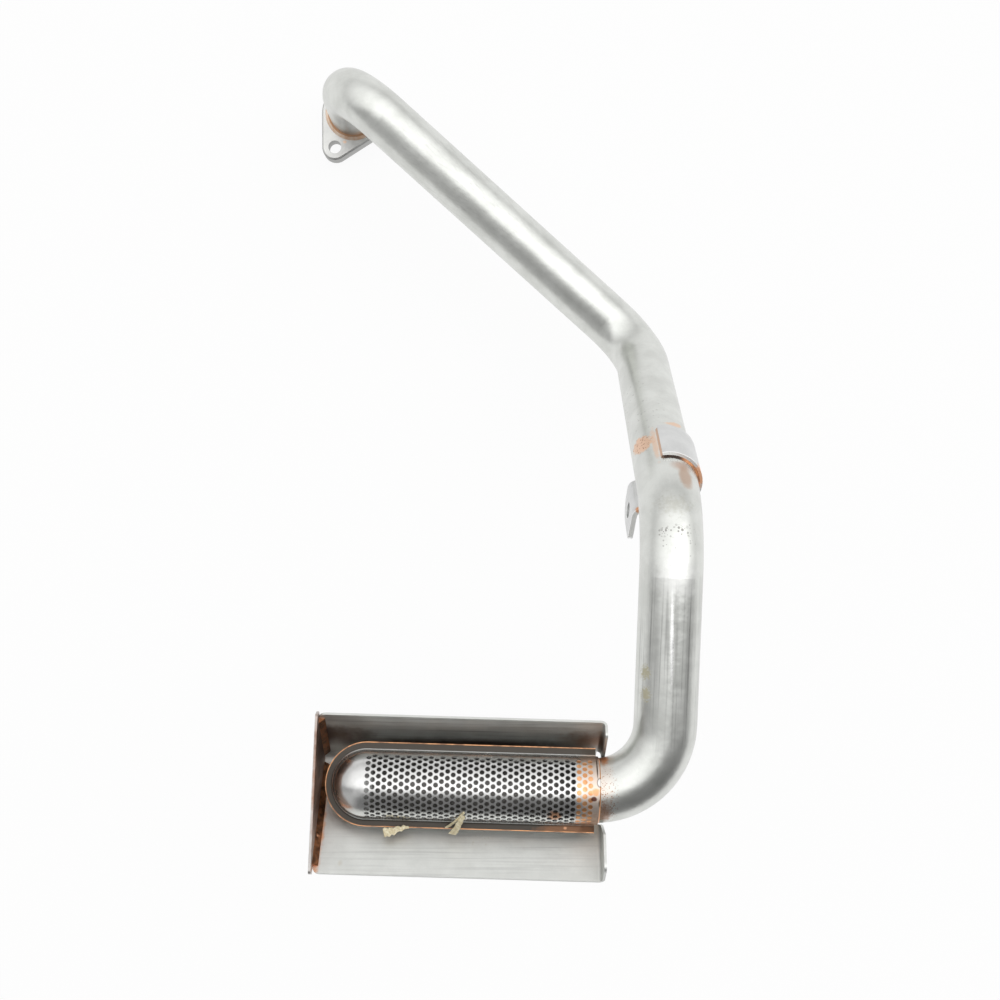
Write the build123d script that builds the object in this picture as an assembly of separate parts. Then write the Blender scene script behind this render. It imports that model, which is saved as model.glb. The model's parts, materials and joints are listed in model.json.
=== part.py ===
from build123d import *

import os
from math import cos, radians, sin, sqrt, tan

os.makedirs("parts", exist_ok=True)

# Oil suction connection: a bent steel pick-up pipe with a bolting flange at one
# end and a perforated strainer under a bent sheet shield at the other, all
# joined by furnace brazing in copper.
# Millimetres. The origin is the middle of the flange's mating face. +Z leaves
# that face along the pipe, +Y runs away from the strainer, +X towards the bend.

# Pipe
tube_od = 38.1
tube_wall = 1.65
first_run = 94.0
diagonal_x = 224.5
diagonal_y = -199.5
diagonal_z = -16.5
riser_x = -2.0
riser_y = -124.0
riser_z = 202.0
drop_x = -5.5
drop_y = -167.0
drop_z = -7.5
strainer_slope = 1.7
bend_1_radius = 43.0
bend_2_radius = 44.0
bend_3_radius = 61.0
bend_4_radius = 42.0

# Flange
flange_thickness = 11.0
flange_centre_radius = 25.5
flange_ear_radius = 10.3
flange_chamfer = 1.2
bolt_circle_d = 63.0
bolt_hole_d = 10.5
first_ear_angle = 241.5
ears_apart = 124.0
socket_clearance = 0.1

# Bracket strap round the riser
strap_thickness = 3.0
strap_width = 36.0
strap_clearance = 0.1
strap_front_angle = 101.0
strap_from_bend = 1.5
strap_tail = 14.3
tab_bend_radius = 3.0
tab_bend_angle = 84.0
tab_length = 18.0
tab_hole_d = 10.0
tab_hole_from_end = 11.4
tab_far_corner = 15.0
tab_near_corner = 3.0

# Strainer: a perforated half and a plain half with their lips brazed together
screen_wall = 0.9
screen_clearance = 0.15
screen_start = 39.5
screen_length = 138.8
screen_tilt = 8.0
lip_width = 4.4
lip_root_radius = 2.0
lip_setback = 1.5
lip_joint = 0.1
tube_overlap = 11.0
hole_d = 2.9
hole_pitch = 3.9
hole_row_angle = 11.9
hole_rows = 12
hole_pattern_turn = 5.95
first_column = 5.35
filled_columns = 3

# Shield: one sheet bent to a right angle, with a flap folded in on each wall
sheet = 1.5
valley_radius = 6.0
lower_wall_angle = 58.0
lower_wall_gap = 0.4
upper_wall_distance = 29.0
lower_wall_reach = 48.3
upper_wall_reach = 30.2
nose_clearance = 4.6
flap_fold_radius = 2.5
flap_setback = 3.3
lower_flap_width = 17.0
lower_flap_start = 12.0
lower_flap_chamfer = 14.5
lower_flap_corner = 4.0
upper_flap_overhang = 5.0
upper_flap_corner = 2.5
flap_clearance = 0.3
wall_corner = 4.5

# End plate
end_plate_thickness = 1.5
end_plate_rise = 5.0
end_plate_margin = 0.6
end_plate_corner = 2.5

# Copper
flange_bead = 3.5
strap_bead = 1.3
seam_bead = 0.8
lip_bead = 0.5
end_bead = 3.4
end_blob_radius = 2.9
end_blob_along = 25.0
saddle_half_width = 6.0
copper_sink = 0.15

# Cutting shapes: how far a hole's cutter runs past the metal, and the size of
# the blocks that trim the strainer's pieces
cut_past = 1.0
trim_size = 600.0

tube_r = tube_od / 2
tube_bore_r = tube_r - tube_wall

# Corners of the pipe's centre line
corner_0 = Vector(0, 0, 0)
corner_1 = Vector(0, 0, first_run)
corner_2 = corner_1 + Vector(diagonal_x, diagonal_y, diagonal_z)
corner_3 = corner_2 + Vector(riser_x, riser_y, riser_z)
corner_4 = corner_3 + Vector(drop_x, drop_y, drop_z)
slope = radians(strainer_slope)
tilt = radians(screen_tilt)
run_dir = Vector(-cos(slope), sin(slope), 0)
opening_dir = Vector(sin(slope) * sin(tilt), cos(slope) * sin(tilt), cos(tilt))
tube_end = corner_4 + run_dir * (screen_start + tube_overlap)

# In the strainer's frame X runs along the strainer from the pipe's last corner,
# Z is the way the perforated half faces and Y points to the shield's long wall.
strainer_frame = Plane(origin=corner_4, x_dir=run_dir, z_dir=opening_dir)


def in_strainer(shape):
    """Moves a shape from the strainer's frame to the part's."""
    return strainer_frame.location * shape


# Flange
ear_angles = (first_ear_angle, first_ear_angle + ears_apart)
ear_places = [Rot(0, 0, angle) * Pos(bolt_circle_d / 2, 0, 0) for angle in ear_angles]
flange_rounds = Circle(flange_centre_radius).edges()
for place in ear_places:
    flange_rounds += (place * Circle(flange_ear_radius)).edges()
flange = extrude(make_hull(flange_rounds), flange_thickness)
flange = chamfer(flange.faces().sort_by(Axis.Z)[-1].edges(), flange_chamfer)
from_the_face = (Align.CENTER, Align.CENTER, Align.MIN)
flange -= Cylinder(tube_r + socket_clearance, flange_thickness, align=from_the_face)
for place in ear_places:
    flange -= place * Cylinder(bolt_hole_d / 2, flange_thickness, align=from_the_face)
export_step(flange, "parts/flange.step")

# Pipe
centre_line = FilletPolyline(
    corner_0,
    corner_1,
    corner_2,
    corner_3,
    corner_4,
    tube_end,
    radius=[bend_1_radius, bend_2_radius, bend_3_radius, bend_4_radius],
)
tube_section = Plane(origin=corner_0, z_dir=(0, 0, 1)) * (Circle(tube_r) - Circle(tube_bore_r))
suction_tube = sweep(tube_section, path=centre_line)
export_step(suction_tube, "parts/suction_tube.step")

# Bracket: the strap's section lies across the riser, its Z along it, and its Y
# is the side that faces away from the shield. The strap starts on that side,
# goes round the pipe and ends in a flat tab with one bolt hole.
riser_dir = (corner_3 - corner_2).normalized()
drop_dir = (corner_4 - corner_3).normalized()
bend_3_turn = radians(riser_dir.get_angle(drop_dir))
bend_3_setback = bend_3_radius * tan(bend_3_turn / 2)
strap_end = corner_3 - riser_dir * (bend_3_setback + strap_from_bend)
strap_frame = Plane(origin=strap_end - riser_dir * strap_width, x_dir=(1, 0, 0), z_dir=riser_dir)
strap_in = tube_r + strap_clearance
strap_out = strap_in + strap_thickness
tab_bend_at = Vector(-strap_tail, -strap_out - tab_bend_radius)
tab_turn = radians(tab_bend_angle)
tab_out = tab_bend_radius + strap_thickness
tab_dir = Vector(-cos(tab_turn), -sin(tab_turn))
tab_side = Vector(-sin(tab_turn), cos(tab_turn))
tab_root_in = tab_bend_at + tab_side * tab_bend_radius
tab_root_out = tab_bend_at + tab_side * tab_out
front = radians(strap_front_angle)
front_sweep = -(strap_front_angle + 90)
strap_lines = [
    CenterArc((0, 0), strap_out, strap_front_angle, front_sweep),
    Line((0, -strap_out), (-strap_tail, -strap_out)),
    CenterArc(tab_bend_at, tab_bend_radius, 90, tab_bend_angle),
    Line(tab_root_in, tab_root_in + tab_dir * tab_length),
    Line(tab_root_in + tab_dir * tab_length, tab_root_out + tab_dir * tab_length),
    Line(tab_root_out + tab_dir * tab_length, tab_root_out),
    CenterArc(tab_bend_at, tab_out, 90, tab_bend_angle),
    Line((-strap_tail, -strap_in), (0, -strap_in)),
    CenterArc((0, 0), strap_in, strap_front_angle, front_sweep),
    Line(
        (strap_in * cos(front), strap_in * sin(front)),
        (strap_out * cos(front), strap_out * sin(front)),
    ),
]
strap_section = make_face([line.edge() for line in strap_lines])
bracket = extrude(strap_section, strap_width)
tab_corners = bracket.edges().filter_by(lambda edge: abs(edge.length - strap_thickness) < 1e-6)
tab_corners = tab_corners.sort_by_distance(tab_root_out + tab_dir * tab_length * 2)[:2]
tab_corners = ShapeList(tab_corners).sort_by(Axis.Z)
bracket = fillet(tab_corners[0], tab_far_corner)
near_corner = bracket.edges().filter_by(lambda edge: abs(edge.length - strap_thickness) < 1e-6)
near_corner = near_corner.filter_by(lambda edge: edge.center().Z > strap_width - 1e-3)
near_corner = near_corner.sort_by_distance(tab_root_out + tab_dir * tab_length + Vector(0, 0, strap_width))
bracket = fillet(near_corner[0], tab_near_corner)
tab_hole_centre = tab_root_in + tab_dir * (tab_length - tab_hole_from_end) + Vector(0, 0, strap_width / 2)
tab_hole_axis = Plane(origin=tab_hole_centre, z_dir=tab_side)
bracket -= tab_hole_axis.location * Cylinder(tab_hole_d / 2, (strap_thickness + cut_past) * 2)
export_step(strap_frame.location * bracket, "parts/bracket.step")

# Strainer halves, in the strainer's frame
shell_in = tube_r + screen_clearance
shell_out = shell_in + screen_wall
lip_out = shell_out + lip_width
dome_x = screen_start + screen_length


above_joint = Pos(0, 0, lip_joint / 2) * Box(trim_size, trim_size, trim_size, align=from_the_face)


def half_shell():
    """A half-round trough, closed by a quarter of a ball at its far end."""
    outline = [
        Line((screen_start, shell_in), (screen_start, shell_out)),
        Line((screen_start, shell_out), (dome_x, shell_out)),
        CenterArc((dome_x, 0), shell_out, 0, 90),
        Line((dome_x + shell_out, 0), (dome_x + shell_in, 0)),
        CenterArc((dome_x, 0), shell_in, 0, 90),
        Line((dome_x, shell_in), (screen_start, shell_in)),
    ]
    section = make_face([line.edge() for line in outline])
    return revolve(section, Axis.X, 180) & above_joint


def long_outline(radius):
    """The outline of the trough and its round end, at a distance from the axis."""
    straight = Pos(screen_start + screen_length / 2, 0) * Rectangle(screen_length, radius * 2)
    return straight + Pos(dome_x, 0) * Circle(radius)


lip_end = Pos(screen_start + lip_setback, 0, 0) * Box(
    trim_size, trim_size, trim_size, align=(Align.MAX, Align.CENTER, Align.CENTER)
)
lip = extrude(long_outline(lip_out) - long_outline(shell_in), screen_wall) - lip_end
plain_half = half_shell() + Pos(0, 0, lip_joint / 2) * lip
lip_top = lip_joint / 2 + screen_wall


def is_lip_root(edge):
    """True for the edges where the trough's outside rises from the lip's face."""
    box = edge.bounding_box()
    on_lip = abs(box.min.Z - lip_top) < 1e-3 and abs(box.max.Z - lip_top) < 1e-3
    near_shell = max(abs(box.min.Y), abs(box.max.Y)) < shell_out + lip_root_radius
    return on_lip and near_shell and edge.length > shell_out and box.max.X > screen_start + shell_out


def is_outside(edge):
    """True for an edge on the outer skin of the trough."""
    spot = edge @ 0.5
    return (spot - Vector(min(spot.X, dome_x), 0, 0)).length > (shell_in + shell_out) / 2


lip_root = plain_half.edges().filter_by(is_lip_root).filter_by(is_outside)
plain_half = fillet(lip_root, lip_root_radius)

column_step = hole_pitch * sqrt(3) / 2
hole_columns = 1 + int((screen_length - first_column - hole_d / 2) / column_step)
hole_places = []
for column in range(hole_columns):
    column_x = screen_start + first_column + column * column_step
    rows = hole_rows if column % 2 == 0 else hole_rows - 1
    for row in range(rows):
        row_angle = hole_pattern_turn + (row - (rows - 1) / 2) * hole_row_angle
        hole_places.append((column, column_x, row_angle))

drill = Cylinder(hole_d / 2, screen_wall + cut_past * 2)
drill_r = shell_in + screen_wall / 2
drills = [Pos(x, 0, 0) * Rot(-angle, 0, 0) * Pos(0, 0, drill_r) * drill for _, x, angle in hole_places]
strainer_screen = plain_half - drills
export_step(in_strainer(strainer_screen), "parts/strainer_screen.step")

strainer_back = plain_half.mirror(Plane.XY)
export_step(in_strainer(strainer_back), "parts/strainer_back.step")

# Shield, in the strainer's frame. Each wall has a foot, the point of its inner
# face nearest to the strainer's axis. U runs along a wall from the foot to the
# free edge, and V off its inner face towards the strainer.
lower_wall_distance = shell_out + lower_wall_gap
lower_turn = radians(lower_wall_angle)
lower_u = Vector(0, sin(lower_turn), cos(lower_turn))
lower_v = Vector(0, -cos(lower_turn), sin(lower_turn))
upper_u = lower_v
upper_v = lower_u
lower_foot = lower_v * -lower_wall_distance
upper_foot = upper_v * -upper_wall_distance
fold_x = screen_start - flap_setback + flap_fold_radius
flap_x = fold_x - flap_fold_radius
shield_end_x = dome_x + lip_out + lip_bead + nose_clearance
shield_length = shield_end_x - fold_x
bend_4_turn = radians(drop_dir.get_angle(run_dir))
bend_4_setback = bend_4_radius * tan(bend_4_turn / 2)
into_bend = max(bend_4_setback - flap_x + sheet, 0)
bend_rise = bend_4_radius - sqrt(bend_4_radius**2 - into_bend**2)
upper_flap_width = upper_wall_distance - tube_r - bend_rise - flap_clearance
lower_frame = Plane(origin=lower_foot, x_dir=(1, 0, 0), z_dir=lower_v)
upper_frame = Plane(origin=upper_foot, x_dir=(1, 0, 0), z_dir=upper_v)


def on_lower_wall(shape):
    """Places a shape drawn with X, U and V as its axes on the lower wall."""
    return lower_frame.location * shape


def on_upper_wall(shape):
    """Places the mirror image of such a shape on the upper wall."""
    return upper_frame.location * shape.mirror(Plane.XZ)


def along_wall(section, u_start, u_end):
    """Carries a section drawn with X and V as its axes along a wall."""
    start = Plane(origin=(0, u_start, 0), x_dir=(1, 0, 0), z_dir=(0, -1, 0))
    return extrude(start * section, u_start - u_end)


def folded_wall(u_start, u_end, flap_width, flap_outline, flap_corner):
    """A wall with its free corner rounded and its flap cut to an outline in (U, V)."""
    plate = along_wall(
        Pos((fold_x + shield_end_x) / 2, -sheet / 2) * Rectangle(shield_length, sheet), u_start, u_end
    )
    free_corner = plate.edges().filter_by(Axis.Z).sort_by(Axis.Y)[-2:].sort_by(Axis.X)[-1]
    plate = fillet(free_corner, wall_corner)
    fold_lines = [
        Line((fold_x, 0), (fold_x, -sheet)),
        CenterArc((fold_x, flap_fold_radius), flap_fold_radius + sheet, 180, 90),
        Line((flap_x - sheet, flap_fold_radius), (flap_x - sheet, flap_width)),
        Line((flap_x - sheet, flap_width), (flap_x, flap_width)),
        Line((flap_x, flap_width), (flap_x, flap_fold_radius)),
        CenterArc((fold_x, flap_fold_radius), flap_fold_radius, 180, 90),
    ]
    flap = along_wall(make_face([line.edge() for line in fold_lines]), u_start, u_end)
    outline = make_face(Polyline(*flap_outline, close=True).edges())
    round_at = outline.vertices().sort_by_distance((u_end, flap_width, 0))[0]
    outline = fillet(round_at, flap_corner)
    across = Plane(origin=(flap_x - sheet * 2, 0, 0), x_dir=(0, 1, 0), z_dir=(1, 0, 0))
    flap &= extrude(across * outline, fold_x - flap_x + sheet * 2)
    return plate + flap


lower_flap_outline = [
    (lower_flap_start, -sheet),
    (lower_flap_start, 0),
    (lower_flap_start + lower_flap_chamfer, lower_flap_width),
    (lower_wall_reach, lower_flap_width),
    (lower_wall_reach, -sheet),
]
upper_flap_outline = [
    (-upper_flap_overhang, -sheet),
    (-upper_flap_overhang, upper_flap_width),
    (upper_wall_reach, upper_flap_width),
    (upper_wall_reach, -sheet),
]
lower_wall_start = valley_radius - upper_wall_distance
upper_wall_start = valley_radius - lower_wall_distance
lower_wall = on_lower_wall(
    folded_wall(lower_wall_start, lower_wall_reach, lower_flap_width, lower_flap_outline, lower_flap_corner)
)
upper_wall = on_upper_wall(
    folded_wall(upper_wall_start, upper_wall_reach, upper_flap_width, upper_flap_outline, upper_flap_corner)
)
valley_corner = lower_foot + upper_foot
valley_centre = valley_corner + (lower_u + upper_u) * valley_radius + Vector(fold_x, 0, 0)
valley_frame = Plane(origin=valley_centre, x_dir=lower_v * -1, z_dir=(1, 0, 0))
valley_lines = [
    CenterArc((0, 0), valley_radius, -90, 90),
    Line((valley_radius, 0), (valley_radius + sheet, 0)),
    CenterArc((0, 0), valley_radius + sheet, -90, 90),
    Line((0, -valley_radius), (0, -valley_radius - sheet)),
]
valley = extrude(valley_frame * make_face([line.edge() for line in valley_lines]), shield_length)
shield = lower_wall + valley + upper_wall
export_step(in_strainer(shield), "parts/shield.step")

# End plate over the shield's end by the strainer's round nose
plate_reach = sheet + end_plate_margin
lower_tip = lower_foot + lower_u * lower_wall_reach
upper_tip = upper_foot + upper_u * upper_wall_reach
plate_corners = [
    valley_corner - (lower_v + upper_v) * plate_reach,
    lower_tip - lower_v * plate_reach,
    lower_tip + Vector(0, 0, end_plate_rise),
    upper_tip + Vector(0, 0, end_plate_rise),
    upper_tip - upper_v * plate_reach,
]
end_plane = Plane(origin=(shield_end_x, 0, 0), x_dir=(0, 1, 0), z_dir=(1, 0, 0))
plate_outline = make_face(Polyline(*[(point.Y, point.Z) for point in plate_corners], close=True).edges())
plate_valley = plate_outline.vertices().sort_by(Axis.Y)[0]
plate_outline = fillet(plate_valley, valley_radius + plate_reach)
plate_near_corners = plate_outline.vertices().sort_by(Axis.Y)[-2:]
plate_outline = fillet(plate_near_corners, end_plate_corner)
shield_end_plate = extrude(end_plane * plate_outline, end_plate_thickness)
export_step(in_strainer(shield_end_plate), "parts/shield_end_plate.step")


def ring_bead(radius, start, leg_out, leg_along, turn):
    """A fillet of copper round a pipe along Z, from a face at a height of start."""
    points = [(radius, start), (radius + leg_out, start), (radius, start + leg_along)]
    section = Plane.XZ * make_face(Polyline(*points, close=True).edges())
    return revolve(section, Axis.Z, turn)


# Copper between the flange and the pipe
flange_braze = ring_bead(tube_r, flange_thickness, flange_bead, flange_bead, 360)
export_step(flange_braze, "parts/flange_braze.step")

# Copper along the strap's three edges on the pipe
strap_arc = strap_front_angle + 90
lower_strap_bead = Rot(0, 0, -90) * ring_bead(tube_r, strap_width, strap_bead, strap_bead, strap_arc)
upper_strap_bead = Rot(0, 0, -90) * ring_bead(tube_r, 0, strap_bead, -strap_bead, strap_arc)
front_points = [(tube_r, 0), (tube_r + strap_bead, 0), (tube_r, strap_bead)]
front_section = make_face(Polyline(*front_points, close=True).edges())
front_strap_bead = Rot(0, 0, strap_front_angle) * extrude(front_section, strap_width)
bracket_braze = lower_strap_bead + upper_strap_bead + front_strap_bead
export_step(strap_frame.location * bracket_braze, "parts/bracket_braze.step")

# Copper round the two lips, drawn out along the joint
lip_film = extrude(long_outline(lip_out) - long_outline(shell_in), lip_joint / 2, both=True)
lip_edge = extrude(long_outline(lip_out + lip_bead) - long_outline(lip_out), screen_wall, both=True)
lip_braze = lip_film + lip_edge - lip_end
export_step(in_strainer(lip_braze), "parts/lip_braze.step")

# Copper at the mouth of the strainer and in the holes that lie over the pipe
seam_section = [
    (screen_start, tube_r),
    (screen_start, shell_out - copper_sink),
    (screen_start - seam_bead, tube_r),
]
seam = revolve(make_face(Polyline(*seam_section, close=True).edges()), Axis.X, 360)
along_x = Rot(0, 90, 0)
plug_band = along_x * (Cylinder(shell_out - copper_sink, trim_size) - Cylinder(tube_r, trim_size))
plug_drills = [
    Pos(x, 0, 0) * Rot(-angle, 0, 0) * Pos(0, 0, drill_r) * drill
    for column, x, angle in hole_places
    if column < filled_columns
]
plugs = [plug_drill & plug_band for plug_drill in plug_drills]
tube_at_strainer = strainer_frame.location.inverse() * suction_tube
seam_braze = [solid for piece in [seam, *plugs] for solid in (piece - tube_at_strainer).solids()]
export_step(in_strainer(Compound(children=seam_braze)), "parts/seam_braze.step")

# Copper saddle between the strainer's back and the shield's lower wall
saddle_height = lower_wall_distance - sqrt(shell_out**2 - saddle_half_width**2)
saddle_box = Pos(screen_start + screen_length / 2, 0, saddle_height / 2) * Box(
    screen_length - lip_width * 2, saddle_half_width * 2, saddle_height
)
strainer_barrel = along_x * Cylinder(shell_out, trim_size)
saddle_braze = on_lower_wall(saddle_box) - strainer_barrel
export_step(in_strainer(saddle_braze), "parts/saddle_braze.step")

# Copper in the corners between the shield's walls and the end plate
end_bead_points = [(shield_end_x, 0), (shield_end_x - end_bead, 0), (shield_end_x, end_bead)]
end_bead_section = make_face(Polyline(*end_bead_points, close=True).edges())
blob_room = Pos(shield_end_x, end_blob_along, 0) * Box(
    end_blob_radius * 2,
    end_blob_radius * 2,
    end_blob_radius * 2,
    align=(Align.MAX, Align.CENTER, Align.MIN),
)
blob = (Pos(shield_end_x, end_blob_along, 0) * Sphere(end_blob_radius)) & blob_room
lower_end_bead = along_wall(end_bead_section, lower_wall_start, lower_wall_reach - wall_corner) + blob
upper_end_bead = along_wall(end_bead_section, upper_wall_start, upper_wall_reach - wall_corner)
end_beads = on_lower_wall(lower_end_bead).solids() + on_upper_wall(upper_end_bead).solids()
export_step(in_strainer(Compound(children=end_beads)), "parts/end_plate_braze.step")
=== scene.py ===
"""The look of an oil suction connection: bare drawn steel, copper brazing, stains and some painted
light and shade.

Everything is in metres in the part's own frame: the origin is the middle of the pipe's open end at
the flange, +Z leaves the flange along the pipe, +Y runs away from the strainer and +X towards the
riser.
"""

from __future__ import annotations

import json
import logging
import math
from dataclasses import dataclass
from enum import Enum

import bpy
from bpy.types import Material, Node, NodeTree, Object
from bpy.types import NodeSocket as Socket
from mathutils import Matrix, Vector

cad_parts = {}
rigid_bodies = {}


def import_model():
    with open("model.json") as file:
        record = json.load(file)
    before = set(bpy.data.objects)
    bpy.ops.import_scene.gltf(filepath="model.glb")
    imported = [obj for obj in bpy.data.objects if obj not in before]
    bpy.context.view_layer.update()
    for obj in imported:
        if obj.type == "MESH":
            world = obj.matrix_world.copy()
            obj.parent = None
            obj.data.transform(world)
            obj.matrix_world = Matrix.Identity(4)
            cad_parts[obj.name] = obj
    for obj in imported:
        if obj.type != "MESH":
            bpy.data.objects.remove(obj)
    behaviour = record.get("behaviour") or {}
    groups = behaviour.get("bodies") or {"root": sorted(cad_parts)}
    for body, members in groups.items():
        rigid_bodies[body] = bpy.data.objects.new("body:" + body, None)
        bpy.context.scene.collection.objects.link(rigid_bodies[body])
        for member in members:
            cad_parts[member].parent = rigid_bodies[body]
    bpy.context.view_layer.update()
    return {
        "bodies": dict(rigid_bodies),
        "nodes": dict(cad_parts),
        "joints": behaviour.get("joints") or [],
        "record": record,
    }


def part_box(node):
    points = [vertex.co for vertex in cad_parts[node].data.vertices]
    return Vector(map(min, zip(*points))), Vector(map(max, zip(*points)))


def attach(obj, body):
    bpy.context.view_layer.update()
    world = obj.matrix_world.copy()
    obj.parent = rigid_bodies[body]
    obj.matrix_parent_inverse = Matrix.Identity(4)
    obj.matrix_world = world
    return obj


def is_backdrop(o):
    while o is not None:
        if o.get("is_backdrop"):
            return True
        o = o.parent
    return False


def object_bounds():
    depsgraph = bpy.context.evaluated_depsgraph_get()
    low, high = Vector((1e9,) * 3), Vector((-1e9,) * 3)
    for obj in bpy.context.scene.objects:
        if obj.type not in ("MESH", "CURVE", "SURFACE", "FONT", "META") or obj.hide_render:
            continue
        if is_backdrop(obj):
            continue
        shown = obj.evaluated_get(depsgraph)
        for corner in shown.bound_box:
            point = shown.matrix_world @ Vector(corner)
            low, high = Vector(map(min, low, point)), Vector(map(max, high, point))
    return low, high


log = logging.getLogger("oil_suction_connection")

Colour = tuple[float, float, float]
Point = tuple[float, float, float]
Span = tuple[float, float]

RISER_TURN: Point = (0.553, 0.0, 0.0)

BRIGHT_STEEL: Colour = (0.755, 0.765, 0.735)
GREY_STEEL: Colour = (0.635, 0.645, 0.615)
# grey of drawn streaks and pits, also used as painted shade on the pipe above the flange
STREAK_AND_SHADE_GREY: Colour = (0.34, 0.34, 0.33)
TAN_COPPER: Colour = (0.84, 0.58, 0.42)
ORANGE_COPPER: Colour = (0.78, 0.36, 0.17)
BROWN_COPPER: Colour = (0.36, 0.18, 0.10)
BURNT_BROWN: Colour = (0.075, 0.045, 0.03)
# near-black of the painted reflection on the strainer's flat lip
LIP_REFLECTION_DARK: Colour = (0.050, 0.041, 0.032)
MARK_YELLOW: Colour = (0.47, 0.43, 0.27)
PAPER_YELLOW: Colour = (0.52, 0.49, 0.36)
WHITE = (1.0, 1.0, 1.0, 1.0)

CLOUD_SCALE = 55.0
PIT_SCALE = 1900.0
LINE_STRETCH: Point = (9.0, 620.0, 620.0)


class Ray(Enum):
    """The kinds of ray that a light path tells apart."""

    CAMERA = "Is Camera Ray"
    GLOSSY = "Is Glossy Ray"
    TRANSMISSION = "Is Transmission Ray"


class NodePen:
    """Draws nodes into one shader tree or node group and joins them."""

    def __init__(self, tree: NodeTree) -> None:
        """Starts on an empty tree.

        Args:
            tree: the tree to draw in; its nodes are cleared.
        """
        self.tree = tree
        self.tree.nodes.clear()

    def node(self, kind: str, **settings: object) -> Node:
        """Adds a node.

        Args:
            kind: the node's type name.
            settings: properties to set on it.

        Returns:
            The new node.
        """
        made = self.tree.nodes.new(kind)
        for name, value in settings.items():
            setattr(made, name, value)
        return made

    def feed(self, socket: Socket, value: object) -> None:
        """Joins a socket to another one, or sets its plain value.

        Args:
            socket: the input to feed.
            value: an output socket, a number, a vector or a colour.
        """
        if isinstance(value, Socket):
            self.tree.links.new(value, socket)
        elif socket.type == "RGBA" and len(value) == 3:
            socket.default_value = (*value, 1.0)
        else:
            socket.default_value = value

    def math(
        self, operation: str, first: object, second: object = 0.0, clamp: bool = False
    ) -> Socket:
        """Works out one sum.

        Args:
            operation: the Math node's operation.
            first: the first value or socket.
            second: the second value or socket.
            clamp: whether the result is kept between 0 and 1.

        Returns:
            The result's socket.
        """
        made = self.node("ShaderNodeMath", operation=operation, use_clamp=clamp)
        self.feed(made.inputs[0], first)
        self.feed(made.inputs[1], second)
        return made.outputs[0]

    def vector(self, operation: str, first: object, second: object = (0.0, 0.0, 0.0)) -> Socket:
        """Works out one vector sum; a length or a dot product comes back as a value.

        Args:
            operation: the Vector Math node's operation.
            first: the first vector or socket.
            second: the second vector or socket; a length has none.

        Returns:
            The result's socket.
        """
        made = self.node("ShaderNodeVectorMath", operation=operation)
        self.feed(made.inputs[0], first)
        if operation != "LENGTH":
            self.feed(made.inputs[1], second)
        return made.outputs["Value" if operation in ("LENGTH", "DOT_PRODUCT") else "Vector"]

    def fade(self, value: object, low: float, high: float) -> Socket:
        """Rises smoothly from 0 at low to 1 at high; low may be the larger one.

        Args:
            value: the value to read.
            low: where the result is 0.
            high: where the result is 1.

        Returns:
            The result's socket.
        """
        made = self.node("ShaderNodeMapRange", interpolation_type="SMOOTHSTEP", clamp=True)
        self.feed(made.inputs["Value"], value)
        made.inputs["From Min"].default_value = min(low, high)
        made.inputs["From Max"].default_value = max(low, high)
        made.inputs["To Min"].default_value = 0.0 if low < high else 1.0
        made.inputs["To Max"].default_value = 1.0 if low < high else 0.0
        return made.outputs["Result"]

    def noise(
        self, place: object, scale: object, detail: float = 3.0, rough: float = 0.55
    ) -> Socket:
        """Adds cloudy noise.

        Args:
            place: where the noise is read.
            scale: how many clouds there are to the metre, or its socket.
            detail: how many finer layers it has.
            rough: how strong the finer layers are.

        Returns:
            The noise's value socket, about 0 to 1.
        """
        made = self.node("ShaderNodeTexNoise", noise_dimensions="3D")
        self.feed(made.inputs["Vector"], place)
        self.feed(made.inputs["Scale"], scale)
        made.inputs["Detail"].default_value = detail
        made.inputs["Roughness"].default_value = rough
        return made.outputs["Fac"]

    def mix(self, share: object, first: object, second: object) -> Socket:
        """Lays one colour over another.

        Args:
            share: how much of the second colour there is.
            first: the colour below.
            second: the colour on top.

        Returns:
            The mixed colour's socket.
        """
        made = self.node("ShaderNodeMix", data_type="RGBA", clamp_factor=True)
        self.feed(made.inputs["Factor"], share)
        self.feed(made.inputs["A"], first)
        self.feed(made.inputs["B"], second)
        return next(socket for socket in made.outputs if socket.type == "RGBA")

    def group(self, tree: NodeTree, **values: object) -> Node:
        """Places a node group.

        Args:
            tree: the group.
            values: its inputs by name.

        Returns:
            The group's node.
        """
        made = self.node("ShaderNodeGroup", node_tree=tree)
        for name, value in values.items():
            self.feed(made.inputs[name], value)
        return made

    def seen_by(self, *rays: Ray) -> Socket:
        """Tells whether one of some kinds of ray gets here.

        Args:
            rays: the kinds.

        Returns:
            The socket, 1 for those rays and 0 for all others.
        """
        path = self.node("ShaderNodeLightPath").outputs
        seen: object = 0.0
        for ray in rays:
            seen = self.math("ADD", path[ray.value], seen, clamp=True)
        return seen


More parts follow.
